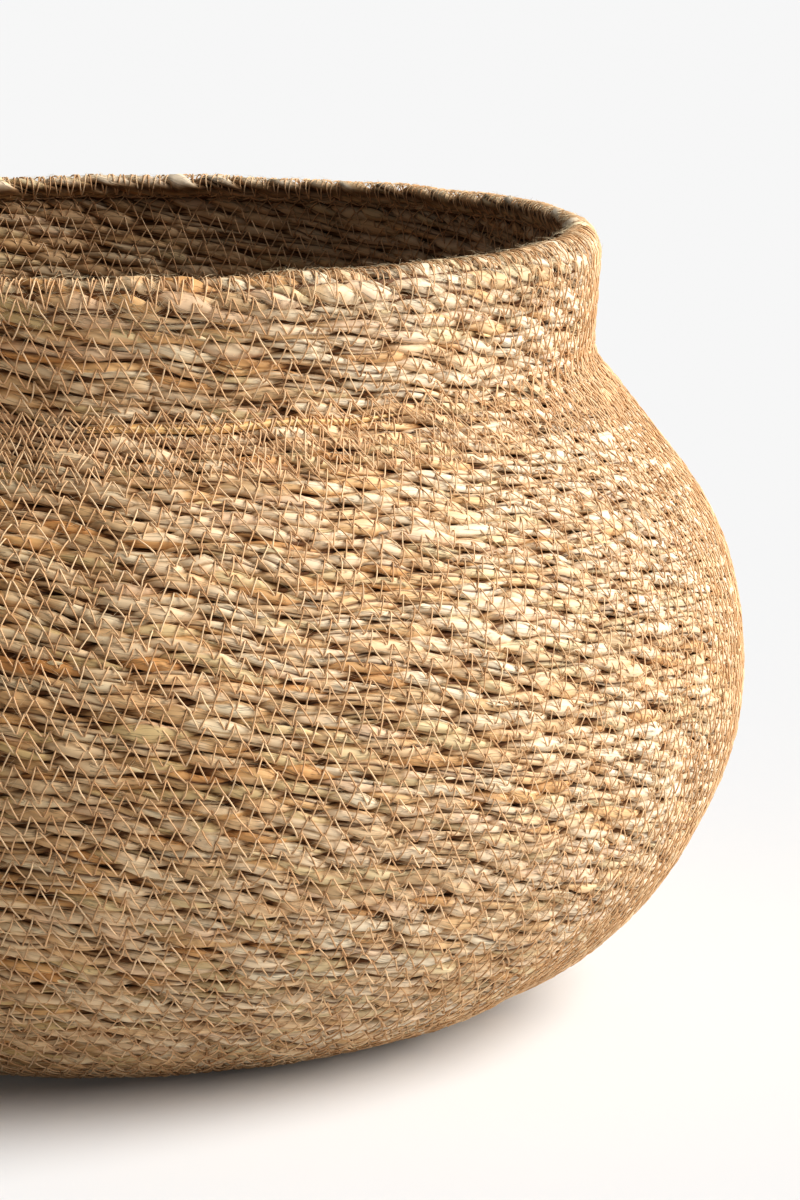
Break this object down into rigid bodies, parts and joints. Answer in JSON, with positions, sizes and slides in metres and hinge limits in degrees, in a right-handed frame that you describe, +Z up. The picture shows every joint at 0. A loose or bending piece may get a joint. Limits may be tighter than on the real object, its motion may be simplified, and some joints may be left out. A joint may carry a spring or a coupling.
{
  "type": "storage basket",
  "caption": "Squat round storage basket of coiled seagrass rope sewn with zigzag seams, with a wide belly, a drawn-in neck and a short flared collar with a thick rounded rim.",
  "frame": {"origin": "centre of the underside, on the floor that the basket stands on", "axes": "+Z up along the basket's axis of symmetry, out of the mouth; X and Y are across the basket, and the rope's end lies inside the collar on the -Y side"},
  "size_m": [0.4, 0.4, 0.242],
  "materials": {
    "seagrass_rope": "dry twisted straw-coloured leaf strands, some orange-brown and some green-grey, matt with a faint sheen",
    "sewing_thread": "thin twisted tan thread, matt"
  },
  "bodies": {
    "root": {"base_bobbin_thread": "sewing_thread", "base_centre_coil": "seagrass_rope", "base_coil_1": "seagrass_rope", "base_coil_2": "seagrass_rope", "base_coil_3": "seagrass_rope", "base_needle_thread": "sewing_thread", "belly_bobbin_thread": "sewing_thread", "belly_coil_1": "seagrass_rope", "belly_coil_2": "seagrass_rope", "belly_coil_3": "seagrass_rope", "belly_needle_thread": "sewing_thread", "collar_bobbin_thread": "sewing_thread", "collar_coil_1": "seagrass_rope", "collar_coil_2": "seagrass_rope", "collar_needle_thread": "sewing_thread", "heel_coil": "seagrass_rope", "lower_wall_bobbin_thread": "sewing_thread", "lower_wall_coil_1": "seagrass_rope", "lower_wall_coil_2": "seagrass_rope", "lower_wall_coil_3": "seagrass_rope", "lower_wall_coil_4": "seagrass_rope", "lower_wall_coil_5": "seagrass_rope", "lower_wall_needle_thread": "sewing_thread", "neck_coil": "seagrass_rope", "rim_coil": "seagrass_rope", "rope_tail": "seagrass_rope", "shoulder_bobbin_thread": "sewing_thread", "shoulder_coil_1": "seagrass_rope", "shoulder_coil_2": "seagrass_rope", "shoulder_coil_3": "seagrass_rope", "shoulder_needle_thread": "sewing_thread"}
  },
  "joints": []
}
